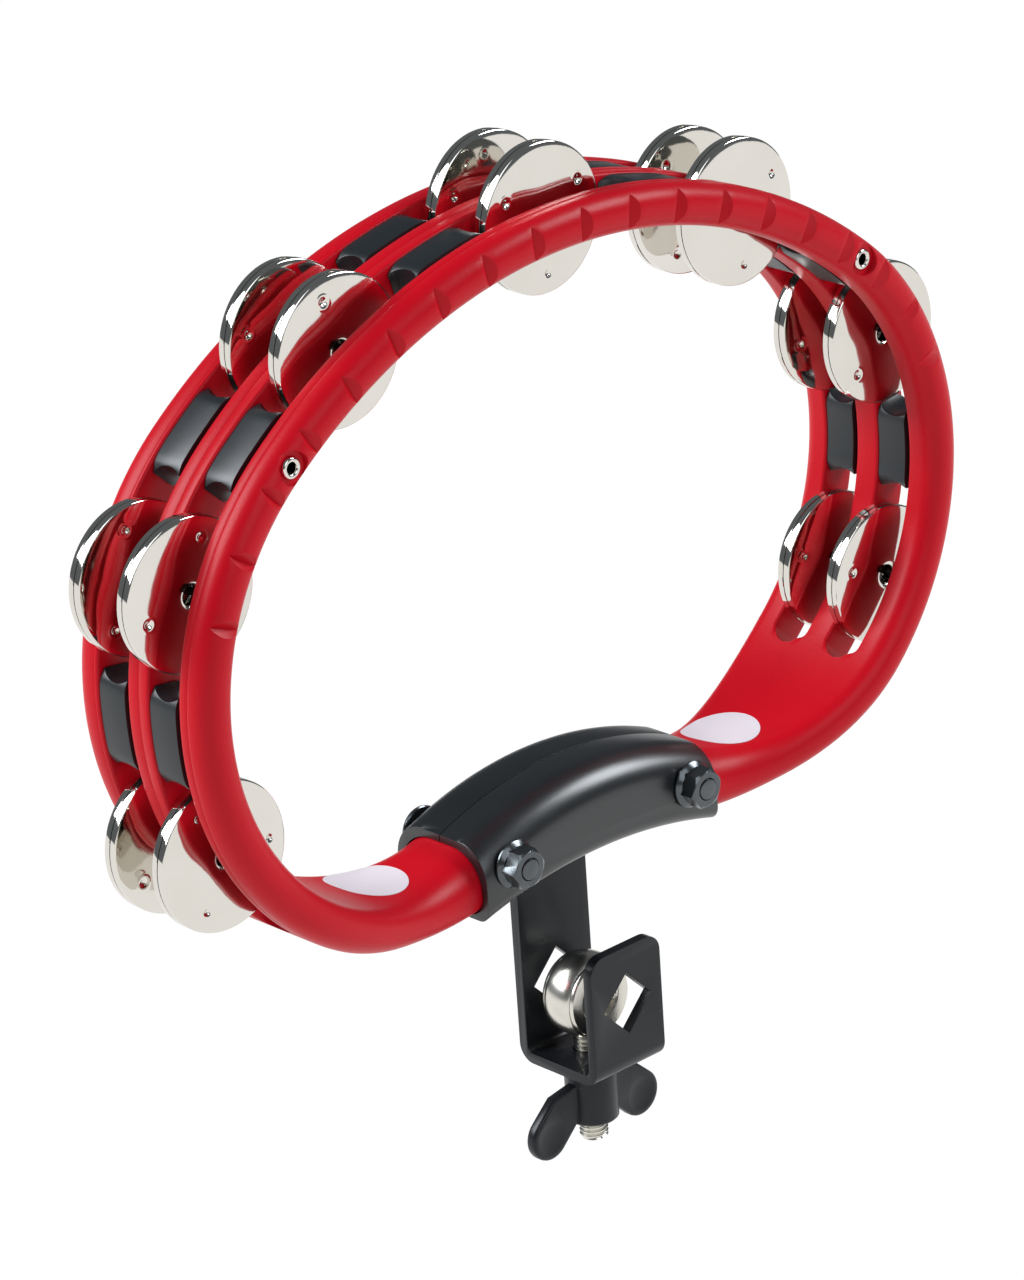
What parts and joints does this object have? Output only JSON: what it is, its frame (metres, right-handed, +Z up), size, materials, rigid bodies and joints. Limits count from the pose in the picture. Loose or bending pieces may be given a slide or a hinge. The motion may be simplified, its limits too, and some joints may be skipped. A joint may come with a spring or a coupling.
{
  "type": "tambourine",
  "caption": "Bean-shaped double-row tambourine with paired steel jingles on pins, a handle shell, and an eye-bolt and wing-nut clamp that fixes it to a rod.",
  "frame": {"origin": "on the axis of the clamped rod, where it crosses the middle plane of the frame", "axes": "+Z up through the ring, Y along the rod and across the band with the front at -Y, X along the ring's width"},
  "size_m": [0.2896, 0.0506, 0.2843],
  "materials": {
    "frame_red": "satin moulded plastic with a fine texture",
    "separator_black": "satin moulded plastic",
    "jingle_nickel": "polished nickel plate",
    "rivet_nickel": "polished nickel plate",
    "pin_steel": "dark drawn steel",
    "shell_black": "satin moulded plastic",
    "hardware_dark": "black zinc plate",
    "bracket_black": "black powder coat",
    "eye_nickel": "bright nickel plate",
    "wing_black": "black powder coat",
    "sticker_white": "blank vinyl"
  },
  "bodies": {
    "root": {"frame": "frame_red", "separator_front_1": "separator_black", "separator_front_2": "separator_black", "separator_front_3": "separator_black", "separator_front_4": "separator_black", "separator_front_5": "separator_black", "separator_front_6": "separator_black", "separator_back_1": "separator_black", "separator_back_2": "separator_black", "separator_back_3": "separator_black", "separator_back_4": "separator_black", "separator_back_5": "separator_black", "separator_back_6": "separator_black", "rivet_1": "rivet_nickel", "rivet_2": "rivet_nickel", "jingle_pin_1": "pin_steel", "jingle_pin_2": "pin_steel", "jingle_pin_3": "pin_steel", "jingle_pin_4": "pin_steel", "jingle_pin_5": "pin_steel", "jingle_pin_6": "pin_steel", "jingle_pin_7": "pin_steel", "handle_shell_front": "shell_black", "handle_shell_back": "shell_black", "handle_bolt_left": "hardware_dark", "flange_nut_left": "hardware_dark", "handle_bolt_right": "hardware_dark", "flange_nut_right": "hardware_dark", "clamp_bracket": "bracket_black"},
    "jingle_1_front_fore": {"jingle_1_front_fore": "jingle_nickel"},
    "jingle_1_front_rear": {"jingle_1_front_rear": "jingle_nickel"},
    "jingle_1_back_fore": {"jingle_1_back_fore": "jingle_nickel"},
    "jingle_1_back_rear": {"jingle_1_back_rear": "jingle_nickel"},
    "jingle_2_front_fore": {"jingle_2_front_fore": "jingle_nickel"},
    "jingle_2_front_rear": {"jingle_2_front_rear": "jingle_nickel"},
    "jingle_2_back_fore": {"jingle_2_back_fore": "jingle_nickel"},
    "jingle_2_back_rear": {"jingle_2_back_rear": "jingle_nickel"},
    "jingle_3_front_fore": {"jingle_3_front_fore": "jingle_nickel"},
    "jingle_3_front_rear": {"jingle_3_front_rear": "jingle_nickel"},
    "jingle_3_back_fore": {"jingle_3_back_fore": "jingle_nickel"},
    "jingle_3_back_rear": {"jingle_3_back_rear": "jingle_nickel"},
    "jingle_4_front_fore": {"jingle_4_front_fore": "jingle_nickel"},
    "jingle_4_front_rear": {"jingle_4_front_rear": "jingle_nickel"},
    "jingle_4_back_fore": {"jingle_4_back_fore": "jingle_nickel"},
    "jingle_4_back_rear": {"jingle_4_back_rear": "jingle_nickel"},
    "jingle_5_front_fore": {"jingle_5_front_fore": "jingle_nickel"},
    "jingle_5_front_rear": {"jingle_5_front_rear": "jingle_nickel"},
    "jingle_5_back_fore": {"jingle_5_back_fore": "jingle_nickel"},
    "jingle_5_back_rear": {"jingle_5_back_rear": "jingle_nickel"},
    "jingle_6_front_fore": {"jingle_6_front_fore": "jingle_nickel"},
    "jingle_6_front_rear": {"jingle_6_front_rear": "jingle_nickel"},
    "jingle_6_back_fore": {"jingle_6_back_fore": "jingle_nickel"},
    "jingle_6_back_rear": {"jingle_6_back_rear": "jingle_nickel"},
    "jingle_7_front_fore": {"jingle_7_front_fore": "jingle_nickel"},
    "jingle_7_front_rear": {"jingle_7_front_rear": "jingle_nickel"},
    "jingle_7_back_fore": {"jingle_7_back_fore": "jingle_nickel"},
    "jingle_7_back_rear": {"jingle_7_back_rear": "jingle_nickel"},
    "wing_nut": {"wing_nut": "wing_black"},
    "eye_bolt": {"eye_bolt": "eye_nickel"}
  },
  "joints": [
    {"name": "jingle_1_front_fore_slide", "type": "slide", "parent": "root", "child": "jingle_1_front_fore", "axis": [0, -1, 0], "range_m": [0, 0.0041]},
    {"name": "jingle_1_front_rear_slide", "type": "slide", "parent": "root", "child": "jingle_1_front_rear", "axis": [0, 1, 0], "range_m": [0, 0.0007]},
    {"name": "jingle_1_back_fore_slide", "type": "slide", "parent": "root", "child": "jingle_1_back_fore", "axis": [0, -1, 0], "range_m": [0, 0.0031]},
    {"name": "jingle_1_back_rear_slide", "type": "slide", "parent": "root", "child": "jingle_1_back_rear", "axis": [0, 1, 0], "range_m": [0, 0.0017]},
    {"name": "jingle_2_front_fore_slide", "type": "slide", "parent": "root", "child": "jingle_2_front_fore", "axis": [0, -1, 0], "range_m": [0, 0.0041]},
    {"name": "jingle_2_front_rear_slide", "type": "slide", "parent": "root", "child": "jingle_2_front_rear", "axis": [0, 1, 0], "range_m": [0, 0.0007]},
    {"name": "jingle_2_back_fore_slide", "type": "slide", "parent": "root", "child": "jingle_2_back_fore", "axis": [0, -1, 0], "range_m": [0, 0.0031]},
    {"name": "jingle_2_back_rear_slide", "type": "slide", "parent": "root", "child": "jingle_2_back_rear", "axis": [0, 1, 0], "range_m": [0, 0.0017]},
    {"name": "jingle_3_front_fore_slide", "type": "slide", "parent": "root", "child": "jingle_3_front_fore", "axis": [0, -1, 0], "range_m": [0, 0.0041]},
    {"name": "jingle_3_front_rear_slide", "type": "slide", "parent": "root", "child": "jingle_3_front_rear", "axis": [0, 1, 0], "range_m": [0, 0.0007]},
    {"name": "jingle_3_back_fore_slide", "type": "slide", "parent": "root", "child": "jingle_3_back_fore", "axis": [0, -1, 0], "range_m": [0, 0.0031]},
    {"name": "jingle_3_back_rear_slide", "type": "slide", "parent": "root", "child": "jingle_3_back_rear", "axis": [0, 1, 0], "range_m": [0, 0.0017]},
    {"name": "jingle_4_front_fore_slide", "type": "slide", "parent": "root", "child": "jingle_4_front_fore", "axis": [0, -1, 0], "range_m": [0, 0.0041]},
    {"name": "jingle_4_front_rear_slide", "type": "slide", "parent": "root", "child": "jingle_4_front_rear", "axis": [0, 1, 0], "range_m": [0, 0.0007]},
    {"name": "jingle_4_back_fore_slide", "type": "slide", "parent": "root", "child": "jingle_4_back_fore", "axis": [0, -1, 0], "range_m": [0, 0.0031]},
    {"name": "jingle_4_back_rear_slide", "type": "slide", "parent": "root", "child": "jingle_4_back_rear", "axis": [0, 1, 0], "range_m": [0, 0.0017]},
    {"name": "jingle_5_front_fore_slide", "type": "slide", "parent": "root", "child": "jingle_5_front_fore", "axis": [0, -1, 0], "range_m": [0, 0.0041]},
    {"name": "jingle_5_front_rear_slide", "type": "slide", "parent": "root", "child": "jingle_5_front_rear", "axis": [0, 1, 0], "range_m": [0, 0.0007]},
    {"name": "jingle_5_back_fore_slide", "type": "slide", "parent": "root", "child": "jingle_5_back_fore", "axis": [0, -1, 0], "range_m": [0, 0.0031]},
    {"name": "jingle_5_back_rear_slide", "type": "slide", "parent": "root", "child": "jingle_5_back_rear", "axis": [0, 1, 0], "range_m": [0, 0.0017]},
    {"name": "jingle_6_front_fore_slide", "type": "slide", "parent": "root", "child": "jingle_6_front_fore", "axis": [0, -1, 0], "range_m": [0, 0.0041]},
    {"name": "jingle_6_front_rear_slide", "type": "slide", "parent": "root", "child": "jingle_6_front_rear", "axis": [0, 1, 0], "range_m": [0, 0.0007]},
    {"name": "jingle_6_back_fore_slide", "type": "slide", "parent": "root", "child": "jingle_6_back_fore", "axis": [0, -1, 0], "range_m": [0, 0.0031]},
    {"name": "jingle_6_back_rear_slide", "type": "slide", "parent": "root", "child": "jingle_6_back_rear", "axis": [0, 1, 0], "range_m": [0, 0.0017]},
    {"name": "jingle_7_front_fore_slide", "type": "slide", "parent": "root", "child": "jingle_7_front_fore", "axis": [0, -1, 0], "range_m": [0, 0.0041]},
    {"name": "jingle_7_front_rear_slide", "type": "slide", "parent": "root", "child": "jingle_7_front_rear", "axis": [0, 1, 0], "range_m": [0, 0.0007]},
    {"name": "jingle_7_back_fore_slide", "type": "slide", "parent": "root", "child": "jingle_7_back_fore", "axis": [0, -1, 0], "range_m": [0, 0.0031]},
    {"name": "jingle_7_back_rear_slide", "type": "slide", "parent": "root", "child": "jingle_7_back_rear", "axis": [0, 1, 0], "range_m": [0, 0.0017]},
    {"name": "wing_nut_turn", "type": "hinge", "parent": "root", "child": "wing_nut", "pos_m": [0, -0.00585, -0.03], "axis": [0, 0, 1], "range_deg": [-792, 864]},
    {"name": "eye_bolt_travel", "type": "slide", "parent": "root", "child": "eye_bolt", "axis": [0, 0, 1], "range_m": [-0.0031, 0.0028]}
  ],
  "couplings": [
    {"joint": "eye_bolt_travel", "follows": "wing_nut_turn", "m_per_rad": -0.00019894}
  ]
}
